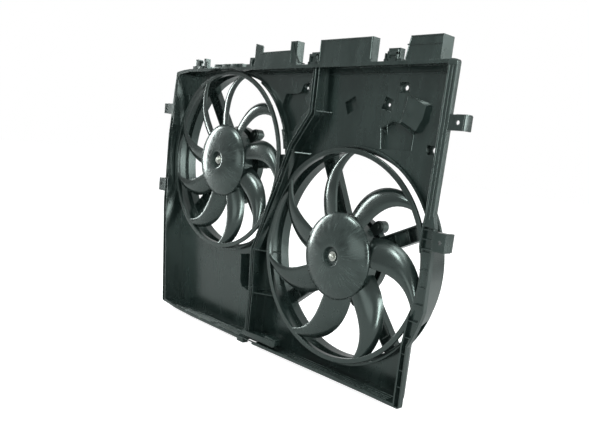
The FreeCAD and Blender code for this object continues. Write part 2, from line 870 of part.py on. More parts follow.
def wheel(fan):
    x = f"{fan}_x"
    z = f"{fan}_z"
    drum = cylinder(f"{fan}_drum", f"{fan}_hub_radius", "hub_front", "hub_depth", x, z)
    doc.recompute()
    dome = doc.addObject("Part::Fillet", f"{fan}_dome")
    dome.Base = drum
    front_edge = min(
        range(len(drum.Shape.Edges)), key=lambda i: drum.Shape.Edges[i].CenterOfMass.y
    )
    dome.Edges = [(front_edge + 1, size("hub_fillet"), size("hub_fillet"))]
    hollow = fuse(f"{fan}_hub_cuts", [
        cylinder(f"{fan}_hub_hollow", f"{fan}_hub_radius - hub_wall", "hub_front + hub_face",
                 "hub_depth", x, z),
        cylinder(f"{fan}_recess", "recess_radius", "hub_front - cut_margin",
                 "recess_depth + cut_margin", x, z),
    ])
    cup = cut(f"{fan}_cup", dome, hollow)
    boss = cylinder(f"{fan}_boss", "hub_boss_radius", "hub_front + recess_depth",
                    "can_front - boss_length - hub_front - recess_depth - hub_gap", x, z)
    collar = cylinder(f"{fan}_collar", "recess_radius + hub_wall", "hub_front + recess_depth",
                      "hub_wall", x, z)
    blade = blade_shape(fan)
    count = int(size(f"{fan}_blades"))
    blades = []
    for i in range(count):
        copy = blade.copy()
        angle = size(f"{fan}_blade_angle") + 360.0 * i / count
        copy.rotate(FreeCAD.Vector(), FreeCAD.Vector(0, 1, 0), -angle)
        copy.translate(FreeCAD.Vector(size(x), 0, size(z)))
        blades.append(solid(f"{fan}_blade_{i + 1}", copy))
    ring_tube = fan_ring(f"{fan}_ring_tube", fan, f"{fan}_ring_radius",
                         f"{fan}_ring_radius - ring_wall", "ring_front", "ring_depth")
    ring_lip = fan_ring(f"{fan}_ring_lip", fan, f"{fan}_lip_radius",
                        f"{fan}_ring_radius - ring_wall", "ring_front", "lip_wall")
    ring_return = fan_ring(f"{fan}_ring_return", fan, f"{fan}_lip_radius",
                           f"{fan}_lip_radius - 1.5", "ring_front", "lip_return")
    ribs = [
        polar_box(f"{fan}_hub_rib_{i + 1}", fan, f"{60 * i + 15}", "hub_boss_radius - 1",
                  f"{fan}_hub_radius - hub_boss_radius - hub_wall + 2", "-rib_wall / 2",
                  "rib_wall", "hub_front + hub_wall - 1", "boss_length - 2")
        for i in range(6)
    ]
    whole = fuse(f"{fan}_wheel_whole", [
        cup, boss, collar, *ribs, *blades, ring_tube, ring_lip, ring_return
    ])
    bore = cylinder(f"{fan}_wheel_bore", "shaft_radius", "0", "hub_depth", x, z)
    return label(cut(f"{fan}_wheel_body", whole, bore), f"{fan}_fan_wheel")


def hub_nut(fan):
    """A hexagon nut on a round washer, in the recess of the hub's face."""
    nut = doc.addObject("Part::Prism", f"{fan}_nut_hexagon")
    nut.Polygon = 6
    nut.Placement = FreeCAD.Placement(FreeCAD.Vector(), TO_REAR)
    bind(nut, Circumradius="hub_nut_radius", Height="hub_nut_length")
    bind(nut, Placement__Base__x=f"{fan}_x", Placement__Base__z=f"{fan}_z")
    bind(nut, Placement__Base__y="hub_front + recess_depth - hub_nut_length - grommet_flange")
    washer = cylinder(f"{fan}_washer", "hub_nut_radius * 1.5",
                      "hub_front + recess_depth - grommet_flange", "grommet_flange",
                      f"{fan}_x", f"{fan}_z")
    bore = cylinder(f"{fan}_nut_bore", "shaft_radius", "0", "hub_depth", f"{fan}_x", f"{fan}_z")
    whole = fuse(f"{fan}_nut_whole", [nut, washer])
    return label(cut(f"{fan}_nut_body", whole, bore), f"{fan}_hub_nut")


# Motors

def shaft(fan):
    item = cylinder(f"{fan}_shaft_rod", "shaft_radius", "shaft_front",
                    "can_rear + cap_wall + boss_length - shaft_end_gap - shaft_front",
                    f"{fan}_x", f"{fan}_z")
    return label(item, f"{fan}_motor_shaft")


def motor_can(fan):
    x = f"{fan}_x"
    z = f"{fan}_z"
    ears = []
    holes = [
        cylinder(f"{fan}_can_hollow", "can_radius - can_wall", "can_front + can_wall",
                 "can_rear - can_front", x, z),
        cylinder(f"{fan}_can_seat", "bearing_radius", "can_front - boss_length + can_wall / 2",
                 "boss_length + can_wall", x, z),
        cylinder(f"{fan}_can_mouth", "shaft_radius + 1", "can_front - 2 * boss_length",
                 "2 * boss_length", x, z),
    ]
    for i, angle in enumerate(lug_angles()):
        ears.append(polar_cylinder(f"{fan}_ear_{i + 1}", fan, angle, "lug_circle",
                                   "ear_radius", "ear_front", "ear_wall"))
        ears.append(polar_box(f"{fan}_ear_arm_{i + 1}", fan, angle, "can_radius - can_wall / 2",
                              "lug_circle - can_radius", "-ear_radius", "2 * ear_radius",
                              "ear_front", "ear_wall"))
        holes.append(polar_cylinder(f"{fan}_ear_hole_{i + 1}", fan, angle, "lug_circle",
                                    "screw_radius + screw_clearance", "ear_front - cut_margin",
                                    "ear_wall + 2 * cut_margin"))
    drum = cylinder(f"{fan}_can_drum", "can_radius", "can_front", "can_rear - can_front", x, z)
    boss = cylinder(f"{fan}_can_boss", "boss_radius", "can_front - boss_length",
                    "boss_length + can_wall", x, z)
    whole = fuse(f"{fan}_can_whole", [drum, boss, *ears])
    return label(cut(f"{fan}_can_body", whole, fuse(f"{fan}_can_cuts", holes)),
                 f"{fan}_motor_can")


def end_cap(fan):
    x = f"{fan}_x"
    z = f"{fan}_z"
    whole = fuse(f"{fan}_cap_whole", [
        cylinder(f"{fan}_cap_disc", "can_radius", "can_rear", "cap_wall", x, z),
        cylinder(f"{fan}_cap_boss", "boss_radius", "can_rear", "cap_wall + boss_length + 1", x, z),
    ])
    seat = cylinder(f"{fan}_cap_seat", "bearing_radius", "can_rear - cut_margin",
                    "cap_wall + boss_length - 1", x, z)
    end_room = cylinder(f"{fan}_cap_end_room", "shaft_radius + 1", "can_rear",
                        "cap_wall + boss_length", x, z)
    return label(cut(f"{fan}_cap_body", whole, fuse(f"{fan}_cap_cuts", [seat, end_room])),
                 f"{fan}_motor_end_cap")


def bearings(fan):
    front = ring(f"{fan}_front_bearing_ring", "bearing_radius", "shaft_radius + shaft_clearance",
                 "can_front - boss_length + can_wall / 2", "bearing_length",
                 f"{fan}_x", f"{fan}_z")
    rear = ring(f"{fan}_rear_bearing_ring", "bearing_radius", "shaft_radius + shaft_clearance",
                "can_rear + cap_wall + boss_length - 2 - bearing_length", "bearing_length",
                f"{fan}_x", f"{fan}_z")
    return label(front, f"{fan}_front_bearing"), label(rear, f"{fan}_rear_bearing")


def magnets(fan):
    halves = []
    for i in range(2):
        name = f"{fan}_magnet_{i + 1}"
        outer = cylinder(name + "_outer", "can_radius - can_wall", "core_front",
                         "core_length", f"{fan}_x", f"{fan}_z")
        inner = cylinder(name + "_inner", "can_radius - can_wall - magnet_wall",
                         "core_front - cut_margin", "core_length + 2 * cut_margin",
                         f"{fan}_x", f"{fan}_z")
        bind(outer, Angle="magnet_span")
        outer.Placement.Rotation = TO_REAR.multiply(
            FreeCAD.Rotation(FreeCAD.Vector(0, 0, 1), 180.0 * i)
        )
        halves.append(cut(name, outer, inner))
    return label(fuse(f"{fan}_magnet_pair", halves), f"{fan}_motor_magnets")


def armature(fan):
    x = f"{fan}_x"
    z = f"{fan}_z"
    core = ring(f"{fan}_core", "core_radius", "shaft_radius", "core_front", "core_length", x, z)
    front = ring(f"{fan}_front_winding", "winding_radius", "winding_radius / 2",
                 "core_front - winding_length", "winding_length", x, z)
    rear = ring(f"{fan}_rear_winding", "winding_radius", "winding_radius / 2",
                "core_front + core_length", "winding_length", x, z)
    commutator = ring(f"{fan}_commutator_ring", "commutator_radius", "shaft_radius",
                      "can_rear - holder_gap - commutator_length", "commutator_length", x, z)
    return (
        label(core, f"{fan}_armature_core"),
        label(fuse(f"{fan}_winding_pair", [front, rear]), f"{fan}_armature_windings"),
        label(commutator, f"{fan}_commutator"),
    )


def brush_gear(fan):
    holder_front = "can_rear - holder_wall"
    holder = ring(f"{fan}_holder_plate", "can_radius - can_wall",
                  "commutator_radius + brush_gap + 1", holder_front, "holder_wall",
                  f"{fan}_x", f"{fan}_z")
    start = "commutator_radius + brush_gap"
    room = "can_radius - can_wall - commutator_radius - brush_gap - brush_length"
    brushes = [
        polar_box(f"{fan}_brush_{i + 1}", fan, f"{180 * i}", start, "brush_length",
                  "-brush_width / 2", "brush_width", f"{holder_front} - brush_height",
                  "brush_height")
        for i in range(2)
    ]
    springs = []
    for i in range(2):
        coil = doc.addObject("Part::Cylinder", f"{fan}_spring_{i + 1}")
        sign = 1 - 2 * i
        coil.Placement.Rotation = FreeCAD.Rotation(FreeCAD.Vector(0, 1, 0), 90 * sign)
        bind(coil, Radius="spring_radius", Height=room)
        bind(coil, Placement__Base__x=f"{fan}_x + {sign} * ({start} + brush_length)")
        bind(coil, Placement__Base__y=f"{holder_front} - brush_height / 2")
        bind(coil, Placement__Base__z=f"{fan}_z")
        springs.append(coil)
    return (
        label(holder, f"{fan}_brush_holder"),
        label(fuse(f"{fan}_brush_pair", brushes), f"{fan}_motor_brushes"),
        label(fuse(f"{fan}_spring_pair", springs), f"{fan}_brush_springs"),
    )


def socket(fan):
    """The plug's socket on the end cap, open to the rear, with its two blades inside."""
    x = f"{fan}_x + socket_offset"
    z = f"{fan}_z - socket_width / 2"
    front = "can_rear + cap_wall"
    block = box(f"{fan}_socket_block", x, front, z,
                "socket_length", "socket_depth", "socket_width")
    hollow = box(f"{fan}_socket_hollow", f"{x} + socket_wall", f"{front} + socket_wall",
                 f"{z} + socket_wall", "socket_length - 2 * socket_wall", "socket_depth",
                 "socket_width - 2 * socket_wall")
    shell = label(cut(f"{fan}_socket_shell", block, hollow), f"{fan}_motor_socket")
    pins = [
        box(f"{fan}_pin_{i + 1}", f"{x} + {i} * socket_length / 3 - pin_width / 2",
            f"{front} + socket_wall", f"{fan}_z - socket_wall / 4",
            "pin_width", "socket_depth / 2", "socket_wall / 2")
        for i in (1, 2)
    ]
    return shell, label(fuse(f"{fan}_pin_pair", pins), f"{fan}_socket_terminals")


def fasteners(fan):
    grommets = []
    screws = []
    depth = "barrel_rear - arm_front"
    for i, angle in enumerate(lug_angles()):
        name = f"{fan}_fixing_{i + 1}"
        sleeve = polar_cylinder(name + "_sleeve", fan, angle, "lug_circle", "grommet_radius",
                                "arm_front - grommet_flange", f"{depth} + 2 * grommet_flange")
        front = polar_cylinder(name + "_front_flange", fan, angle, "lug_circle",
                               "grommet_flange_radius", "arm_front - grommet_flange",
                               "grommet_flange")
        rear = polar_cylinder(name + "_rear_flange", fan, angle, "lug_circle",
                              "grommet_flange_radius", "barrel_rear", "grommet_flange")
        bore = polar_cylinder(name + "_bore", fan, angle, "lug_circle",
                              "screw_radius + screw_clearance", "arm_front - 2 * grommet_flange",
                              f"{depth} + 4 * grommet_flange")
        grommets.append(cut(name + "_grommet", fuse(name + "_rubber", [sleeve, front, rear]),
                            bore))
        shank = polar_cylinder(name + "_shank", fan, angle, "lug_circle", "screw_radius",
                               "ear_front - screw_head_length",
                               "barrel_rear + grommet_flange + nut_length + 2 - ear_front"
                               " + screw_head_length")
        head = polar_cylinder(name + "_head", fan, angle, "lug_circle", "screw_head_radius",
                              "ear_front - screw_head_length", "screw_head_length")
        nut = polar_cylinder(name + "_nut", fan, angle, "lug_circle", "screw_head_radius",
                             "barrel_rear + grommet_flange", "nut_length")
        screws.append(fuse(name + "_screw", [shank, head, nut]))
    return (
        label(fuse(f"{fan}_grommet_set", grommets), f"{fan}_mount_grommets"),
        label(fuse(f"{fan}_screw_set", screws), f"{fan}_mount_screws"),
    )


# Side brackets

def edge_at(side, z):
    """Distance of the shroud's side from the middle at a height."""
    corners = points_of("edge")
    found = []
    for (near, low), (far, high) in zip(corners, corners[1:] + corners[:1]):
        if low != high and min(low, high) <= z <= max(low, high):
            found.append(near + (far - near) * (z - low) / (high - low))
    return max(found) if side == "right" else -min(found)


def bracket(level, side):
    """A hooked tab that stands out from the side, with a hole for the fixing screw."""
    node = f"{level}_{side}_bracket"
    sign = 1 if side == "right" else -1
    z = size(f"{level}_bracket_z")
    half = size(f"{level}_bracket_height") / 2
    skin = size("bracket_wall")
    hole_x = size("bracket_hole_x")
    reach = hole_x + size(f"{side}_bracket_reach")
    low_x = edge_at(side, z - half)
    high_x = edge_at(side, z + half)
    tab = prism_shape(
        [(sign * low_x, z - half), (sign * reach, z - half),
         (sign * reach, z + half), (sign * high_x, z + half)], 0, skin,
    )
    hook = prism_shape(
        [(sign * reach, z - half), (sign * (reach - skin), z - half),
         (sign * (reach - skin), z + half), (sign * reach, z + half)],
        0, size("bracket_depth"),
    )
    shape = tab.fuse(hook)
    for level in (z - half, z + half - skin):
        inner_x = max(low_x, high_x)
        shape = shape.fuse(prism_shape(
            [(sign * inner_x, level), (sign * reach, level),
             (sign * reach, level + skin), (sign * inner_x, level + skin)],
            0, size("channel_depth"),
        ))
    hole = Part.makeCylinder(
        size("bracket_hole_radius"), 3 * skin,
        FreeCAD.Vector(sign * hole_x, -skin, z), FreeCAD.Vector(0, 1, 0),
    )
    body = prism_shape(outline(0), -skin, size("bracket_depth") + skin)
    return label(solid(node + "_shape", shape.cut(hole).cut(body)), node)


def build():
    shroud()
    for fan in FANS:
        barrel_and_carrier(fan)
        wheel(fan)
        hub_nut(fan)
        shaft(fan)
        motor_can(fan)
        end_cap(fan)
        bearings(fan)
        magnets(fan)
        armature(fan)
        brush_gear(fan)
        socket(fan)
        fasteners(fan)
    for level in ("upper", "lower"):
        for side in ("left", "right"):
            bracket(level, side)
    doc.recompute()


def check():
    for item in doc.Objects:
        if "Invalid" in item.State or "Error" in item.State:
            raise RuntimeError(f"{item.Name} failed: {item.State}")
    for item in sub_parts:
        if item.Shape.isNull() or not item.Shape.isValid() or not item.Shape.Solids:
            raise RuntimeError(f"{item.Label} has no valid solid")


def export():
    os.makedirs("parts", exist_ok=True)
    for item in sub_parts:
        item.Shape.exportStep(f"parts/{item.Label}.step")
        box_of = item.Shape.BoundBox
        print(f"{item.Label}: {len(item.Shape.Solids)} solids, {item.Shape.Volume / 1000:.1f} cm3,"
              f" y {box_of.YMin:.1f} to {box_of.YMax:.1f}")


build()
check()
export()
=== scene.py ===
import math

import bmesh
import bpy
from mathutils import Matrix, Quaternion, Vector

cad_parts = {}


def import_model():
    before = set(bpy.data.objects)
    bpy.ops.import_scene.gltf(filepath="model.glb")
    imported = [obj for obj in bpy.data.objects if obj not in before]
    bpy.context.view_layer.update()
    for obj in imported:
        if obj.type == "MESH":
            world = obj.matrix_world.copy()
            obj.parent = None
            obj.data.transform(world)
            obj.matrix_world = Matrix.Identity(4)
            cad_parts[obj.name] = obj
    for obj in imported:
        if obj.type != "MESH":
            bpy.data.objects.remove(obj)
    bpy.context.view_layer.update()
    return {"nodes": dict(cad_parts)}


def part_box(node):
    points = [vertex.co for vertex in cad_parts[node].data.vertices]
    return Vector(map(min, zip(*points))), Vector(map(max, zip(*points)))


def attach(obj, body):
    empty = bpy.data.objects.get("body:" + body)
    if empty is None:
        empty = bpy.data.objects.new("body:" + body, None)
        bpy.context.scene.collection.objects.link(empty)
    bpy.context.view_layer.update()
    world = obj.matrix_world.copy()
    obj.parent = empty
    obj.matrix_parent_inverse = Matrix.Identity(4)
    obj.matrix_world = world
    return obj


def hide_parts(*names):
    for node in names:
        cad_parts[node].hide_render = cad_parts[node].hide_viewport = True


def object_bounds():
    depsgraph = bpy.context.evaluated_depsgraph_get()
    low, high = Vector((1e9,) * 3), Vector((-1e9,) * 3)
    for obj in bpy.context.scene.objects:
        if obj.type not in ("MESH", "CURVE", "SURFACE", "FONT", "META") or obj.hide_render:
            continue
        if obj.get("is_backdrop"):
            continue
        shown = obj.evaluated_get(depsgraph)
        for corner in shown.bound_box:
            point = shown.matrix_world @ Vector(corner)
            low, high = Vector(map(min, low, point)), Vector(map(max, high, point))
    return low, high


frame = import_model()
MM = 0.001


# Shader helpers

def new_material(name):
    material = bpy.data.materials.new(name)
    material.use_nodes = True
    return material, material.node_tree.nodes, material.node_tree.links


def fill_sockets(links, node, values):
    """Links each value that is a socket and sets each one that is a number or a tuple."""
    for socket, value in zip(node.inputs, values):
        if isinstance(value, (int, float, tuple)):
            socket.default_value = value
        else:
            links.new(value, socket)


def math_node(nodes, links, operation, a, b=0.0):
    node = nodes.new("ShaderNodeMath")
    node.operation = operation
    fill_sockets(links, node, (a, b))
    return node.outputs[0]


def vector_node(nodes, links, operation, *values):
    """Gives all the node's outputs: a length comes from another one than a vector."""
    node = nodes.new("ShaderNodeVectorMath")
    node.operation = operation
    fill_sockets(links, node, values)
    return node.outputs


def blend(nodes, links, a, b, share):
    """The first value by its share and the second by the rest."""
    first = math_node(nodes, links, "MULTIPLY", a, share)
    second = math_node(nodes, links, "MULTIPLY", b, 1 - share)
    return math_node(nodes, links, "ADD", first, second)


def map_range(nodes, links, value, low, high, from_low=0.0, from_high=1.0):
    node = nodes.new("ShaderNodeMapRange")
    node.inputs["From Min"].default_value = from_low
    node.inputs["From Max"].default_value = from_high
    node.inputs["To Min"].default_value = low
    node.inputs["To Max"].default_value = high
    links.new(value, node.inputs["Value"])
    return node.outputs["Result"]


def noise(nodes, links, vector, scale, detail, stretch=(1, 1, 1)):
    spread = nodes.new("ShaderNodeMapping")
    spread.inputs["Scale"].default_value = stretch
    links.new(vector, spread.inputs["Vector"])
    node = nodes.new("ShaderNodeTexNoise")
    node.inputs["Scale"].default_value = scale
    node.inputs["Detail"].default_value = detail
    links.new(spread.outputs["Vector"], node.inputs["Vector"])
    return node.outputs["Fac"]


# Materials

SHEEN = (0.86, 1.0, 0.96)
# Each noise's scale per metre and its detail
CLOUD = (11.0, 5.0)
MARKS = (60.0, 3.0)
GRAIN = (900.0, 2.0)
STREAK = (16.0, 6.0)
WEAR = (400.0, 4.0)
STREAK_DRIFT = 3.0
CLOUD_SHARE = 0.7
STREAK_SHARE = 0.65
RAMP_START = 0.36
RAMP_END = 0.66
MIX_LOW = 0.3
MIX_HIGH = 0.7
ROUGH_SWING = 0.09
WEAR_SMOOTH = 0.1
WEAR_DULL = 0.15
SWELL_DEPTH = 1.5 * MM
GRAIN_DEPTH = 0.2 * MM
SOFT_EDGE = 0.7 * MM
EDGE_SAMPLES = 6


def radial_vector(nodes, links, place):
    """Coordinates that stay the same along a radius of the wheel, with no seam."""
    flat = vector_node(nodes, links, "MULTIPLY", place, (1, 0, 1))["Vector"]
    unit = vector_node(nodes, links, "NORMALIZE", flat)["Vector"]
    reach = vector_node(nodes, links, "LENGTH", flat)["Value"]
    drift = nodes.new("ShaderNodeCombineXYZ")
    links.new(math_node(nodes, links, "MULTIPLY", reach, STREAK_DRIFT), drift.inputs["Y"])
    return vector_node(nodes, links, "ADD", unit, drift.outputs["Vector"])["Vector"]


def bump(nodes, links, height, strength, depth):
    node = nodes.new("ShaderNodeBump")
    node.inputs["Strength"].default_value = strength
    node.inputs["Distance"].default_value = depth
    links.new(height, node.inputs["Height"])
    return node


def plastic(name, dark, light, rough, spec, edge=SOFT_EDGE, radial=False,
            stretch=(1, 1, 1), wave=0.0, grained=0.06):
    """Moulded plastic: dark, with flow marks, a soft sheen and edges that catch the light."""
    material, nodes, links = new_material(name)
    shader = nodes["Principled BSDF"]
    shader.inputs["Specular IOR Level"].default_value = spec
    shader.inputs["Specular Tint"].default_value = (*SHEEN, 1)
    place = nodes.new("ShaderNodeTexCoord").outputs["Object"]
    cloud = noise(nodes, links, place, *CLOUD, stretch)
    marks = noise(nodes, links, place, *MARKS, stretch)
    fine = noise(nodes, links, place, *GRAIN)
    mixed = blend(nodes, links, cloud, marks, CLOUD_SHARE)
    if radial:
        streak = noise(nodes, links, radial_vector(nodes, links, place), *STREAK)
        mixed = blend(nodes, links, streak, mixed, STREAK_SHARE)
    ramp = nodes.new("ShaderNodeValToRGB")
    start, end = ramp.color_ramp.elements
    start.position = RAMP_START
    start.color = (*dark, 1)
    end.position = RAMP_END
    end.color = (*light, 1)
    links.new(mixed, ramp.inputs["Fac"])
    links.new(ramp.outputs["Color"], shader.inputs["Base Color"])
    links.new(map_range(nodes, links, mixed, rough - ROUGH_SWING, rough + ROUGH_SWING,
                        MIX_LOW, MIX_HIGH), shader.inputs["Roughness"])
    swell = bump(nodes, links, mixed, wave, SWELL_DEPTH)
    grain = bump(nodes, links, fine, grained, GRAIN_DEPTH)
    links.new(swell.outputs["Normal"], grain.inputs["Normal"])
    links.new(grain.outputs["Normal"], shader.inputs["Normal"])
    if edge > 0:
        soft = nodes.new("ShaderNodeBevel")
        soft.samples = EDGE_SAMPLES
        soft.inputs["Radius"].default_value = edge
        links.new(soft.outputs["Normal"], swell.inputs["Normal"])
    return material


def metal(name, colour, rough):
    """Bare metal with small patches that are smoother or duller."""
    material, nodes, links = new_material(name)
    shader = nodes["Principled BSDF"]
    shader.inputs["Base Color"].default_value = (*colour, 1)
    shader.inputs["Metallic"].default_value = 1.0
    place = nodes.new("ShaderNodeTexCoord").outputs["Object"]
    worn = noise(nodes, links, place, *WEAR)
    links.new(map_range(nodes, links, worn, rough - WEAR_SMOOTH, rough + WEAR_DULL),
              shader.inputs["Roughness"])
    return material


TRAY_DARK = (0.0042, 0.0080, 0.0072)
TRAY_LIGHT = (0.0100, 0.0160, 0.0146)
SHROUD = plastic("shroud plastic", TRAY_DARK, TRAY_LIGHT, rough=0.25, spec=0.58,
                 stretch=(1.7, 1.0, 0.5), wave=0.012)
TRIM = plastic("trim plastic", TRAY_DARK, TRAY_LIGHT, rough=0.28, spec=0.55, edge=0,
               grained=0.02)
HUB = plastic("hub plastic", (0.0030, 0.0055, 0.0050), (0.0200, 0.0280, 0.0262),
              rough=0.23, spec=0.6, edge=0, radial=True)
BLADE = plastic("blade plastic", (0.0050, 0.0080, 0.0073), (0.0085, 0.0130, 0.0120),
                rough=0.22, spec=0.65, edge=0)
RUBBER = plastic("grommet rubber", (0.004, 0.004, 0.004), (0.008, 0.008, 0.008),
                 rough=0.7, spec=0.2)
PAINT = plastic("painted can", (0.004, 0.006, 0.0055), (0.008, 0.011, 0.010),
                rough=0.42, spec=0.4)
ZINC = metal("zinc plated steel", (0.44, 0.45, 0.42), rough=0.30)
COPPER = metal("copper", (0.75, 0.40, 0.25), rough=0.35)

# The first row that has a word found in the node's name gives its material.
FINISHES = (
    (("hub_nut", "shaft", "bearing"), ZINC),
    (("grommets",), RUBBER),
    (("motor_can", "end_cap", "screw", "nut"), PAINT),
    (("windings", "terminals", "commutator"), COPPER),
    (("fan_wheel",), BLADE),
)


def finish_of(name):
    for words, material in FINISHES:
        if any(word in name for word in words):
            return material
    return SHROUD


for name, node in frame["nodes"].items():
    node.data.materials.clear()
    node.data.materials.append(finish_of(name))


# Mesh helpers. Their sizes are in millimetres.

CORNER_SHARE = 0.45


def finish_mesh(name, bm, materials, body, sharp, origin=(0, 0, 0)):
    """An object from a bmesh whose vertices are given round its origin."""
    mesh = bpy.data.meshes.new(name)
    bmesh.ops.recalc_face_normals(bm, faces=bm.faces)
    bm.to_mesh(mesh)
    bm.free()
    for material in materials:
        mesh.materials.append(material)
    mesh.shade_smooth()
    mesh.set_sharp_from_angle(angle=math.radians(sharp))
    piece = bpy.data.objects.new(name, mesh)
    piece.location = origin
    bpy.context.scene.collection.objects.link(piece)
    bpy.context.view_layer.update()
    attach(piece, body)
    return piece


def rounded(profile, radius, steps=3):
    """A closed profile of (r, y) points with each corner rounded off."""
    points = []
    count = len(profile)
    for i, corner in enumerate(profile):
        here = Vector(corner)
        before = Vector(profile[i - 1]) - here
        after = Vector(profile[(i + 1) % count]) - here
        back = min(radius, before.length * CORNER_SHARE, after.length * CORNER_SHARE)
        start = here + before.normalized() * back
        end = here + after.normalized() * back
        for step in range(steps + 1):
            t = step / steps
            points.append(start * (1 - t) ** 2 + here * 2 * t * (1 - t) + end * t ** 2)
    return points


def revolve(bm, profile, segments, slot=0):
    """The closed profile of (r, y) points turned about the Y axis."""
    rings = []
    for i in range(segments):
        turn = 2 * math.pi * i / segments
        rings.append([bm.verts.new((r * MM * math.cos(turn), y * MM, r * MM * math.sin(turn)))
                      for r, y in profile])
    count = len(profile)
    for i, here in enumerate(rings):
        there = rings[(i + 1) % segments]
        for j in range(count):
            k = (j + 1) % count
            face = bm.faces.new((here[j], here[k], there[k], there[j]))
            face.material_index = slot


def loft(bm, sections, slot=0):
    """Closed sections of equal length joined into a closed skin."""
    rows = [[bm.verts.new(Vector(point) * MM) for point in section] for section in sections]
    for row, after in zip(rows, rows[1:]):
        count = len(row)
        for i in range(count):
            k = (i + 1) % count
            face = bm.faces.new((row[i], row[k], after[k], after[i]))
            face.material_index = slot
    for end in (rows[0], rows[-1]):
        face = bm.faces.new(end)
        face.material_index = slot


def polar(radius, angle, y):
    """A point round the Y axis, its angle in degrees from +X towards +Z."""
    turn = math.radians(angle)
    return Vector((radius * math.cos(turn), y, radius * math.sin(turn)))


# Fan wheels, in millimetres and degrees.
# A depth is behind the shroud's front edge, or behind the hub's face where that is said.
# A pip is an angle and a radius.

WHEELS = {
    "large": {"ring": 187.0, "lip": 193.5, "hub": 79.5, "blades": 7, "angle": -2.0,
              "span": 40.0, "pips": ((48, 40), (135, 52), (209, 55), (294, 58))},
    "small": {"ring": 183.5, "lip": 190.0, "hub": 77.5, "blades": 9, "angle": 8.0,
              "span": 29.0, "pips": ((118, 26), (131, 24), (143, 24), (228, 26), (246, 27))},
}
WHEEL_SHARP = 35.0
HUB_SEGMENTS = 128
RING_SEGMENTS = 192
PIP_RADIUS = 1.1

RING_FRONT = 18.0
RING_DEPTH = 10.0
RING_WALL = 2.5
RING_SOFT = 0.9
LIP_DEPTH = 5.0
LIP_WALL = 2.2
FLANGE_WALL = 2.4

HUB_FRONT = 3.2
HUB_REAR = 46.0
HUB_WALL = 3.0
HUB_STEP = 4.0
HUB_CHAMFER = 0.6
BORE = 4.2
NUT_SEAT = 6.5
# Radius and depth behind the face, from the bore outwards
HUB_RECESS = ((BORE, NUT_SEAT), (9.6, NUT_SEAT), (10.2, 8.0), (14.8, 8.0), (16.6, 3.4),
              (17.6, 0.8), (18.8, 0.1))
HUB_DOME = ((22.0, 0.0), (30.0, 0.5), (38.0, 1.4), (46.0, 2.8), (54.0, 4.6), (61.0, 6.6),
            (67.0, 8.8), (71.5, 10.9))
# Distance inside the hub's radius and depth behind the face
HUB_RIM = ((3.4, 13.2), (1.2, 15.2), (0.2, 16.8), (0.0, 18.2), (0.6, 19.0), (HUB_STEP, 19.6))
# Distance inside the wall and depth behind the face, where the inside turns
HUB_CORNER = ((HUB_WALL, 23.6), (7.0, 18.0))
# Radius and depth behind the face, from that corner back to the bore
HUB_INSIDE = ((56.0, 10.0), (40.0, 6.2), (19.6, 4.4), (17.2, 11.0), (BORE, 11.0))

BLADE_FRONT = 20.0
ROOT_SETBACK = 2.0
ROOT_REAR = 43.0
TIP_REAR = 34.0
ROOT_LEAD = -1.0
TIP_SWEEP = 14.0
SWEEP_POWER = 3
TIP_SPAN = 9.0
TAPER_POWER = 0.85
BLADE_WALL = 2.6
# How far the nose stands ahead of the leading edge
NOSE = BLADE_WALL * math.pi / 9
EDGE_SHARE = 0.35
FULL_AHEAD = 0.08
CAMBER = 6.5
OVERLAP = 1.0
RADIAL_STEPS = 14
CHORD_STEPS = 12

WASHER = 0.8
WASHER_SOFT = 0.3
WASHER_SEGMENTS = 64
WASHER_RADIUS = 8.8
WASHER_BORE = 4.0
NUT_HEIGHT = 3.4
NUT_RADIUS = 6.3
NUT_TOP_RADIUS = 5.5
NUT_CHAMFER = 0.7
NUT_ANGLE = 12.0
NUT_SHARP = 30.0
STUD_SEGMENTS = 48
STUD_RADIUS = 3.4
STUD_END_RADIUS = 2.6
STUD_HEIGHT = 6.6
STUD_CHAMFER = 0.6
AXIS_RADIUS = 0.01


def wheel_centre(fan):
    """The middle of a wheel's box, in metres."""
    low, high = (Vector(v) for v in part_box(f"{fan}_fan_wheel"))
    return (low + high) / 2


def hub_profile(radius):
    """The hub's cup in section: recess, domed face, rounded rim, wall and inside."""
    rim = [(radius - inset, depth) for inset, depth in HUB_RIM]
    barrel = radius - HUB_STEP
    wall = [(barrel, HUB_REAR - HUB_CHAMFER), (barrel - HUB_CHAMFER, HUB_REAR),
            (barrel - HUB_WALL, HUB_REAR)]
    corner = [(barrel - inset, depth) for inset, depth in HUB_CORNER]
    inside = [*corner, *HUB_INSIDE]
    front = [(r, HUB_FRONT + y) for r, y in (*HUB_RECESS, *HUB_DOME, *rim)]
    return [*front, *wall, *((r, HUB_FRONT + y) for r, y in inside)]


def dome_depth(reach):
    """How far the hub's face lies behind its front at a radius."""
    for (r0, y0), (r1, y1) in zip(HUB_DOME, HUB_DOME[1:]):
        if r0 <= reach <= r1:
            return y0 + (y1 - y0) * (reach - r0) / (r1 - r0)
    return 0.0


def ring_profile(ring, lip):
    """The wheel's outer ring in section, with the flange and lip at its front."""
    front = RING_FRONT
    flange = front + FLANGE_WALL
    rear = front + RING_DEPTH
    return rounded([
        (ring - RING_WALL, front), (lip, front), (lip, front + LIP_DEPTH),
        (lip - LIP_WALL, front + LIP_DEPTH), (lip - LIP_WALL, flange),
        (ring, flange), (ring, rear), (ring - RING_WALL, rear),
    ], RING_SOFT)


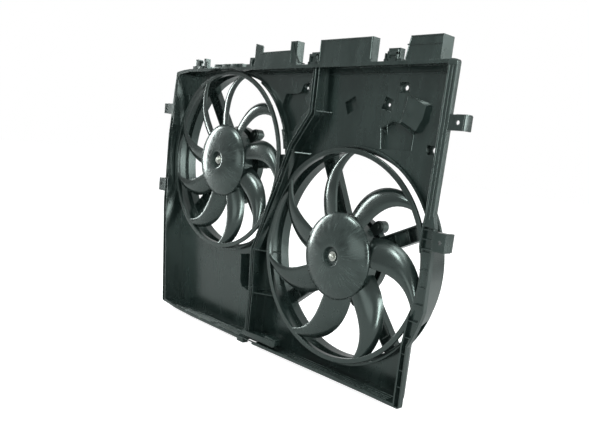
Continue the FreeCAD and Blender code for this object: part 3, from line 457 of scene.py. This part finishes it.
def blade_section(radius, start, end, front, rear):
    """A closed cambered section, thin at both edges and fullest just ahead of its middle."""
    chord = polar(radius, end, rear) - polar(radius, start, front)
    outward = polar(1, (start + end) / 2, 0)
    normal = outward.cross(chord).normalized()
    if normal.y > 0:
        normal = -normal
    face = []
    back = []
    for i in range(CHORD_STEPS + 1):
        t = i / CHORD_STEPS
        middle = polar(radius, start + (end - start) * t, front + (rear - front) * t)
        middle += normal * CAMBER * 4 * t * (1 - t)
        fullness = math.sin(math.pi * min(1, t + FULL_AHEAD)) ** 0.5
        half = BLADE_WALL / 2 * (EDGE_SHARE + (1 - EDGE_SHARE) * fullness)
        face.append(middle + normal * half)
        back.append(middle - normal * half)
    nose = polar(radius, start - math.degrees(NOSE / radius), front)
    return [nose, *face, *reversed(back)]


def blade_sections(spec, turned):
    """The sections of one blade from inside the hub's wall to inside the ring."""
    root = spec["hub"] - HUB_STEP - HUB_WALL + OVERLAP
    tip = spec["ring"] - RING_WALL + OVERLAP
    sections = []
    for i in range(RADIAL_STEPS + 1):
        part = i / RADIAL_STEPS
        start = turned + ROOT_LEAD - TIP_SWEEP * part ** SWEEP_POWER
        width = spec["span"] - (spec["span"] - TIP_SPAN) * part ** TAPER_POWER
        front = BLADE_FRONT + ROOT_SETBACK * (1 - part)
        rear = ROOT_REAR + (TIP_REAR - ROOT_REAR) * part
        sections.append(blade_section(root + part * (tip - root), start, start + width, front,
                                      rear))
    return sections


def wheel(fan):
    """Hub, blades, ring and the small pips on the hub's face, in one piece."""
    spec = WHEELS[fan]
    bm = bmesh.new()
    revolve(bm, hub_profile(spec["hub"]), HUB_SEGMENTS)
    revolve(bm, ring_profile(spec["ring"], spec["lip"]), RING_SEGMENTS, slot=1)
    for i in range(spec["blades"]):
        loft(bm, blade_sections(spec, spec["angle"] + 360 * i / spec["blades"]), slot=1)
    for angle, reach in spec["pips"]:
        spot = polar(reach, angle, HUB_FRONT + dome_depth(reach)) * MM
        pip = bmesh.ops.create_icosphere(bm, subdivisions=2, radius=PIP_RADIUS * MM)
        bmesh.ops.translate(bm, vec=spot, verts=pip["verts"])
    centre = wheel_centre(fan)
    piece = finish_mesh(f"{fan}_wheel", bm, [HUB, BLADE], f"{fan}_fan", WHEEL_SHARP,
                        origin=(centre.x, 0, centre.z))
    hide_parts(f"{fan}_fan_wheel")


def hub_nut(fan):
    """Washer, six-sided nut and the chamfered end of the shaft."""
    seat = HUB_FRONT + NUT_SEAT
    top = seat - WASHER
    nut_top = top - NUT_HEIGHT
    stud_top = seat - STUD_HEIGHT
    bm = bmesh.new()
    washer = [(WASHER_BORE, top), (WASHER_RADIUS, top), (WASHER_RADIUS, seat),
              (WASHER_BORE, seat)]
    revolve(bm, rounded(washer, WASHER_SOFT), WASHER_SEGMENTS)
    levels = ((top, NUT_RADIUS), (nut_top, NUT_RADIUS), (nut_top - NUT_CHAMFER, NUT_TOP_RADIUS))
    loft(bm, [[polar(reach, 60 * i + NUT_ANGLE, y) for i in range(6)] for y, reach in levels])
    stud = [(AXIS_RADIUS, stud_top), (STUD_END_RADIUS, stud_top),
            (STUD_RADIUS, stud_top + STUD_CHAMFER), (STUD_RADIUS, seat), (AXIS_RADIUS, seat)]
    revolve(bm, stud, STUD_SEGMENTS)
    centre = wheel_centre(fan)
    piece = finish_mesh(f"{fan}_nut", bm, [ZINC], f"{fan}_fan", NUT_SHARP,
                        origin=(centre.x, 0, centre.z))
    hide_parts(f"{fan}_hub_nut")


for fan in WHEELS:
    wheel(fan)
    hub_nut(fan)


# Mouldings of the shroud that the rigid solids leave plain.
# Lines and corners are (x, z) or (x, y, z) in millimetres, y being the depth.

FRAME_HEIGHT = 550.0
PLATE_TOP = 34.0
PLATE_BOTTOM = 50.0
TRIM_SHARP = 30.0
MITRE_LIMIT = 0.5
STRIP_SOFT = 0.6
STRIP_SOFT_SHARE = 0.3
RIB_WALL = 1.6
ARC_STEP = 4.0
FINE_SOFT = 0.3


def plate_depth(z):
    return PLATE_BOTTOM - (PLATE_BOTTOM - PLATE_TOP) * z / FRAME_HEIGHT


def proud(rise):
    """A front that stands forward of the sloping plate."""
    def front(z):
        return plate_depth(z) - rise
    return front


def side_line(points, away):
    """The (x, z) line moved to its left by a distance, with mitred corners."""
    moved = []
    for i, point in enumerate(points):
        here = Vector(point)
        before = (here - Vector(points[i - 1])).normalized() if i else None
        after = (Vector(points[i + 1]) - here).normalized() if i + 1 < len(points) else None
        lead = ((before or after) + (after or before)).normalized()
        side = Vector((-lead.y, lead.x))
        along = before or after
        mitre = side.dot(Vector((-along.y, along.x)))
        moved.append(here + side * away / max(MITRE_LIMIT, mitre))
    return moved


def strip(bm, points, width, front, rear):
    """A strip along a line of (x, z) points; its depths are numbers or functions of z."""
    soft = min(STRIP_SOFT, width * STRIP_SOFT_SHARE)
    left = side_line(points, width / 2)
    right = side_line(points, -width / 2)
    inner_left = side_line(points, width / 2 - soft)
    inner_right = side_line(points, soft - width / 2)
    sections = []
    for a, b, c, d in zip(left, inner_left, inner_right, right):
        near = front(a.y) if callable(front) else front
        far = rear(a.y) if callable(rear) else rear
        sections.append([(p.x, y, p.y) for p, y in (
            (a, far), (a, near + soft), (b, near), (c, near), (d, near + soft), (d, far),
        )])
    loft(bm, sections)


def prism(bm, outline, front, rear, soft):
    """An outline of (x, z) points between two depths, with its edges rounded."""
    new = bmesh.new()
    loft(new, [[(x, y, z) for x, z in outline] for y in (front, rear)])
    bmesh.ops.recalc_face_normals(new, faces=new.faces)
    bmesh.ops.bevel(new, geom=new.edges[:], offset=soft * MM, segments=2, profile=0.6,
                    affect="EDGES")
    rows = {v: bm.verts.new(v.co) for v in new.verts}
    for face in new.faces:
        bm.faces.new([rows[v] for v in face.verts])
    new.free()


def block(bm, low, high, soft):
    """A box between two corners, with its edges rounded."""
    corners = [(low[0], low[2]), (high[0], low[2]), (high[0], high[2]), (low[0], high[2])]
    prism(bm, corners, low[1], high[1], soft)


def gusset(bm, start, end, z, front_start, front_end):
    """A thin upright rib in the plane of one height, its front edge sloping to the rear."""
    rear = plate_depth(z) + 1
    section = [(start, front_start), (end, front_end), (end, rear), (start, rear)]
    loft(bm, [[(x, y, z + side * RIB_WALL / 2) for x, y in section] for side in (-1, 1)])


def arc_band(bm, centre, inner, outer, start, end, front, rear):
    """A flat band between two radii, from one angle to another."""
    steps = max(2, round((end - start) / ARC_STEP))
    turns = [start + (end - start) * i / steps for i in range(steps + 1)]
    middle = centre / MM
    around = [middle + polar(outer, a, 0) for a in turns]
    back = [middle + polar(inner, a, 0) for a in reversed(turns)]
    prism(bm, [(p.x, p.z) for p in around + back], front, rear, FINE_SOFT)


DIVIDER_LINE = ((-36.0, 2.0), (-36.0, 99.0), (-43.3, 186.5), (17.9, 328.6), (43.5, 400.0),
                (88.5, 462.0), (88.5, 547.0))
DIVIDER_FRONT = 8.0
DIVIDER_DEPTH = 14.0
DIVIDER_HALF = 4.6
DIVIDER_LIP = 1.8
LIP_RISE = 0.8
DIVIDER_RIBS = ((86, 471), (38, 394), (13, 328), (-21, 243), (-43, 186), (-37, 108))
# From x, to x, height, front at each end
DIVIDER_GUSSETS = (
    (93, 112, 468, 9, 34),
    (42, 66, 390, 9, 38),
    (-38, 4, 186, 9, 36),
    (-32, 22, 97, 9, 44),
)
POCKET_LIP = ((-84, 168), (-78, 112), (-70, 100), (-41, 96))


def divider_trim(bm):
    """Lips along the divider's channel, the ribs across it and the ribs beside it."""
    rear = DIVIDER_FRONT + DIVIDER_DEPTH
    for side in (-1, 1):
        strip(bm, side_line(DIVIDER_LINE, side * DIVIDER_HALF), DIVIDER_LIP,
              DIVIDER_FRONT - LIP_RISE, rear)
    for x, z in DIVIDER_RIBS:
        block(bm, (x - 5, DIVIDER_FRONT + 0.6, z - 0.9), (x + 7, rear, z + 0.9), FINE_SOFT)
    for start, end, z, front_start, front_end in DIVIDER_GUSSETS:
        gusset(bm, start, end, z, front_start, front_end)
    strip(bm, POCKET_LIP, RIB_WALL, 10, plate_depth)


# Start and end angle, inner radius and front of the lip and of its two bridges
GAP_BANDS = ((-8, 62, 187.5, 35.0), (12, 24, 184.5, 33.5), (4, 8, 184.5, 33.5))
GAP_OUTER = 196.0
GAP_REAR = 38.0


def gap_trim(bm):
    """The lip that narrows the gap beside the small fan, and the two bridges across it."""
    centre = wheel_centre("small")
    for start, end, inner, front in GAP_BANDS:
        arc_band(bm, centre, inner, GAP_OUTER, start, end, front, GAP_REAR)


STEP_WIDTH = 3.2
STEP_RISE = 2.2
TOP_STEPS = (((96, 536), (353, 536)), ((-112, 539), (83, 539)), ((-365, 536), (-262, 540)))


def top_trim(bm):
    """The step under the top wall of the tray."""
    for line in TOP_STEPS:
        strip(bm, line, STEP_WIDTH, proud(STEP_RISE), plate_depth)


FLANGE_REAR = 2.0
# Line, width and front of each strip on the right flange
FLANGE_STRIPS = (
    (((371.8, 304), (373.8, 318), (376.5, 545)), 3.0, -1.3),
    (((386.2, 318), (389.0, 545)), 3.4, -1.3),
    (((380.5, 312), (382.8, 545)), 1.6, -0.5),
)
FLANGE_CAP = ((374, 541), (391, 541), (390, 547), (386, 550), (379, 550.5), (374.5, 548))


def right_flange_trim(bm):
    """The two raised strips of the closed right flange, with a groove between them."""
    for line, width, front in FLANGE_STRIPS:
        strip(bm, line, width, front, FLANGE_REAR)
    prism(bm, FLANGE_CAP, -1.6, FLANGE_REAR, 0.6)


def left_flange_trim(bm):
    """Strips on the left flange and inside it, and the small tab near its top."""
    strip(bm, ((-371, 452), (-369.4, 534)), 2.2, -1.2, FLANGE_REAR)
    strip(bm, ((-368.5, 452), (-366.5, 536)), 2.4, proud(2.0), plate_depth)
    block(bm, (-369.5, -2.0, 524), (-364.5, FLANGE_REAR, 531), 0.6)


# Line, width, front and rear of each lip on the baffles
BAFFLE_LIPS = (
    (((-70, 573.4), (18, 574.4)), 2.4, 0.2, 4),
    (((24.5, 588), (31, 571), (43, 553), (58, 550)), 2.2, -0.6, 3),
    (((20.4, 553), (20.0, 589)), 1.8, -0.4, 3),
    (((98.4, 554), (98.2, 588.6), (217.8, 588.6), (218.4, 554)), 1.8, -0.2, 3),
    (((293.2, 573.6), (357, 573.4)), 1.8, -0.5, 3),
    (((292, 552), (298.8, 585.6), (356.6, 585.6)), 1.8, -0.3, 3),
)
BAFFLE_FEET = (-101, 246)


def baffle_trim(bm):
    """Lips, steps and stiffening of the three upstanding baffles."""
    for line, width, front, rear in BAFFLE_LIPS:
        strip(bm, line, width, front, rear)
    for x in BAFFLE_FEET:
        block(bm, (x, 4, 549), (x + 2.2, 22, 563), 0.4)


TOP_EDGE = 546.0
# Low corner, high corner and edge radius of the clips and the rail at the upper left
LEFT_CLIPS = (
    ((-307, 6, TOP_EDGE), (-288, 10, 566), 0.6),
    ((-307, 12, 562), (-288, 20, 566), 0.6),
    ((-275, 6, TOP_EDGE), (-260, 10, 564), 0.6),
    ((-290, 4, TOP_EDGE), (-272, 18, 553), 0.6),
    ((-236, 3, TOP_EDGE), (-147, 16, 551), 0.8),
)
RAIL_PADS = (-230, -200, -170)
# Left side and top of each post
CLIP_POSTS = ((66, 567), (84, 569), (250, 566), (268, 569))
# Low and high corner of each bar that joins two posts
CLIP_BARS = (((66, 5, 563), (88, 8, 568)), ((252, 5, 560), (272, 9, 565)))


def clips(bm):
    """Cable clips and posts along the top edge."""
    for low, high, soft in LEFT_CLIPS:
        block(bm, low, high, soft)
    for x in RAIL_PADS:
        block(bm, (x, 4, 549), (x + 18, 15, 556), 0.7)
    for x, top in CLIP_POSTS:
        block(bm, (x, 5, TOP_EDGE), (x + 4, 22, top), 0.6)
    for low, high in CLIP_BARS:
        block(bm, low, high, 0.6)


# Low corner, high corner and edge radius of each block on the right brackets
UPPER_BRACKET = (
    ((412.4, 2.5, 447), (416, 22, 470), 0.6),
    ((396, 7, 468.6), (416, 20, 471.2), 0.5),
    ((384, 9, 447.2), (414, 12, 449.4), 0.5),
)
LOWER_BRACKET = (
    ((411.6, 6, 265), (414, 24, 294), 0.6),
    ((380, 9, 264.6), (413, 13, 267), 0.5),
    ((380, 9, 292), (413, 13, 294.4), 0.5),
)
BRACKET_RIBS = (270, 277, 284)


def bracket_trim(bm):
    """Hooked ends, ribs and beads of the side brackets."""
    for low, high, soft in UPPER_BRACKET + LOWER_BRACKET:
        block(bm, low, high, soft)
    for z in BRACKET_RIBS:
        block(bm, (404, 10.5, z), (412, 14, z + 3.4), 0.5)


SHELF = ((-46, 4), (52, 4), (58, 9), (58, 15), (50, 18), (-46, 14))
SHELF_CAP = ((20, 15), (57, 15), (57, 20), (26, 22))
WALL_LEFT = ((-352, 3.4), (-300, -1.6), (-230, -3.5), (-62, -3.5))
WALL_RIGHT = ((62, -2.2), (200, 0.8), (300, 2.3), (340, 2.4))
WALL_BEADS = (3, 9, 15, 22, 30)


def lower_trim(bm):
    """The shelf beside the notch, its hanging hook and the beads along the lower wall."""
    prism(bm, SHELF, 4, 26, 0.8)
    prism(bm, SHELF_CAP, 6, 24, 0.8)
    block(bm, (-60, 2, -12.5), (-39, 16, -5), 0.8)
    for depth in WALL_BEADS:
        strip(bm, WALL_LEFT, 2.0, depth, depth + 2.4)
        strip(bm, WALL_RIGHT, 1.6, depth, depth + 2.2)


BOX_FRONT = ((289, 499), (326, 484), (322, 463), (311, 444), (281, 458))
BOX_FOOT = ((289, 500), (331, 483), (327, 460), (313, 441), (281, 457))
BOX_RISE = 10.6
BOX_SINK = 0.4
BEAD_RISE = 1.2
# Line and width of each bead on the plate
FIELD_BEADS = (
    (((256, 458), (272, 455.5), (301, 438.5), (300, 413)), 1.5),
    (((234, 411), (230, 446), (255, 459.5)), 1.5),
    (((232, 445), (246, 438), (243, 452)), 1.3),
)


def facet_trim(bm):
    """The face of the raised box, and beads round the low field beside it."""
    for line, width in FIELD_BEADS:
        strip(bm, line, width, proud(BEAD_RISE), plate_depth)
    loft(bm, [[(x, plate_depth(z) - rise, z) for x, z in outline]
              for outline, rise in ((BOX_FRONT, BOX_RISE), (BOX_FOOT, -BOX_SINK))])


MOULDINGS = {
    "divider_trim": divider_trim,
    "small_gap_lip": gap_trim,
    "top_step": top_trim,
    "right_flange_strips": right_flange_trim,
    "left_flange_strips": left_flange_trim,
    "baffle_edges": baffle_trim,
    "top_clips": clips,
    "bracket_ends": bracket_trim,
    "lower_shelf": lower_trim,
    "facet_beads": facet_trim,
}

for name, build in MOULDINGS.items():
    moulding = bmesh.new()
    build(moulding)
    finish_mesh(name, moulding, [TRIM], "shroud", TRIM_SHARP)


# Camera, fitted to the photograph

FOCAL_PIXELS = 633.7047
PHOTO_WIDTH = 589
PHOTO_HEIGHT = 442
PRINCIPAL_X = 296.107
PRINCIPAL_Y = 262.854
SENSOR = 36.0
# Axis of the camera's turn, its length the angle in radians
CAMERA_TURN = Vector((1.3552079, 0.4939902, 0.7631078))
CAMERA_PLACE = (0.9494437, -0.8095029, 0.3901325)


def add_camera():
    lens = bpy.data.cameras.new("camera")
    lens.sensor_width = SENSOR
    lens.lens = FOCAL_PIXELS / PHOTO_WIDTH * SENSOR
    lens.shift_x = (PHOTO_WIDTH / 2 - PRINCIPAL_X) / PHOTO_WIDTH
    lens.shift_y = (PRINCIPAL_Y - PHOTO_HEIGHT / 2) / PHOTO_WIDTH
    camera = bpy.data.objects.new("camera", lens)
    camera.rotation_mode = "QUATERNION"
    camera.rotation_quaternion = Quaternion(CAMERA_TURN.normalized(), CAMERA_TURN.length)
    camera.location = CAMERA_PLACE
    bpy.context.scene.collection.objects.link(camera)
    bpy.context.scene.camera = camera


# Floor, world and studio light

FLOOR_REACH = 12.0
FLOOR_GAP = 0.0005
FLOOR_TONE = 0.5
FLOOR_GLOW = 0.84
FLOOR_SHEEN = 0.1
WHITE = (1, 1, 1, 1)
# The room's brightness to the object rises from front to back, along Y.
ROOM_FRONT = 0.55
ROOM_BACK = 0.7
RISE_START = -0.35
RISE_END = 0.55
LAMP_COLOUR = (0.93, 1.0, 0.98)
AIM = Vector((0, 0, 0.28))
STUDIO = (
    # name, bearing from +X in degrees, height in degrees, distance, width, height, power
    ("left strip", 190, 12, 2.2, 0.30, 1.4, 30),
    ("high front", 250, 50, 2.3, 0.7, 0.4, 30),
    ("overhead", 262, 78, 2.0, 1.2, 0.8, 22),
    ("front", 270, 6, 2.8, 1.8, 1.0, 12),
    ("right front", 322, 10, 2.3, 0.3, 1.5, 40),
    ("right rear", 30, 14, 2.3, 0.6, 1.5, 52),
)


def floor_material():
    """White to the camera, dim to reflections, and plain to the lamps so shadows stay."""
    material, nodes, links = new_material("floor")
    shader = nodes["Principled BSDF"]
    shader.inputs["Base Color"].default_value = (FLOOR_TONE, FLOOR_TONE, FLOOR_TONE, 1)
    shader.inputs["Roughness"].default_value = 0.9
    shader.inputs["Specular IOR Level"].default_value = 0.1
    glow = nodes.new("ShaderNodeEmission")
    glow.inputs["Color"].default_value = WHITE
    path = nodes.new("ShaderNodeLightPath")
    mirrored = math_node(nodes, links, "MULTIPLY", path.outputs["Is Glossy Ray"], FLOOR_SHEEN)
    direct = math_node(nodes, links, "MULTIPLY", path.outputs["Is Camera Ray"], FLOOR_GLOW)
    links.new(math_node(nodes, links, "ADD", direct, mirrored), glow.inputs["Strength"])
    both = nodes.new("ShaderNodeAddShader")
    links.new(shader.outputs["BSDF"], both.inputs[0])
    links.new(glow.outputs["Emission"], both.inputs[1])
    links.new(both.outputs["Shader"], nodes["Material Output"].inputs["Surface"])
    return material


def floor():
    """A plain floor just below the lowest point of the object."""
    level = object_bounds()[0][2] - FLOOR_GAP
    corners = ((-1, -1), (1, -1), (1, 1), (-1, 1))
    mesh = bpy.data.meshes.new("floor")
    mesh.from_pydata([(x * FLOOR_REACH, y * FLOOR_REACH, level) for x, y in corners], [],
                     [(0, 1, 2, 3)])
    mesh.materials.append(floor_material())
    piece = bpy.data.objects.new("floor", mesh)
    bpy.context.scene.collection.objects.link(piece)
    piece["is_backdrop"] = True


def world():
    """White to the camera; to the object a bright backdrop, dimmer on the camera's side."""
    room = bpy.data.worlds.new("world")
    bpy.context.scene.world = room
    room.use_nodes = True
    nodes = room.node_tree.nodes
    links = room.node_tree.links
    back = nodes["Background"]
    path = nodes.new("ShaderNodeLightPath")
    place = nodes.new("ShaderNodeTexCoord")
    axis = nodes.new("ShaderNodeSeparateXYZ")
    links.new(place.outputs["Generated"], axis.inputs["Vector"])
    behind = map_range(nodes, links, axis.outputs["Y"], ROOM_FRONT, ROOM_BACK, RISE_START,
                       RISE_END)
    seen = math_node(nodes, links, "MAXIMUM", path.outputs["Is Camera Ray"], behind)
    back.inputs["Color"].default_value = WHITE
    links.new(seen, back.inputs["Strength"])


def area_light(name, place, width, height, power):
    """A soft box that faces the object and that the camera doesn't see."""
    lamp = bpy.data.lights.new(name, "AREA")
    lamp.shape = "RECTANGLE"
    lamp.size = width
    lamp.size_y = height
    lamp.energy = power
    lamp.color = LAMP_COLOUR
    holder = bpy.data.objects.new(name, lamp)
    holder.location = place
    holder.rotation_mode = "QUATERNION"
    holder.rotation_quaternion = (AIM - place).to_track_quat("-Z", "Y")
    holder.visible_camera = False
    bpy.context.scene.collection.objects.link(holder)


def studio():
    for name, bearing, height, distance, width, tall, power in STUDIO:
        turn = math.radians(bearing)
        rise = math.radians(height)
        away = Vector((math.cos(turn) * math.cos(rise), math.sin(turn) * math.cos(rise),
                       math.sin(rise)))
        area_light(name, AIM + away * distance, width, tall, power)


add_camera()
floor()
world()
studio()
bpy.context.scene.view_settings.view_transform = "Standard"
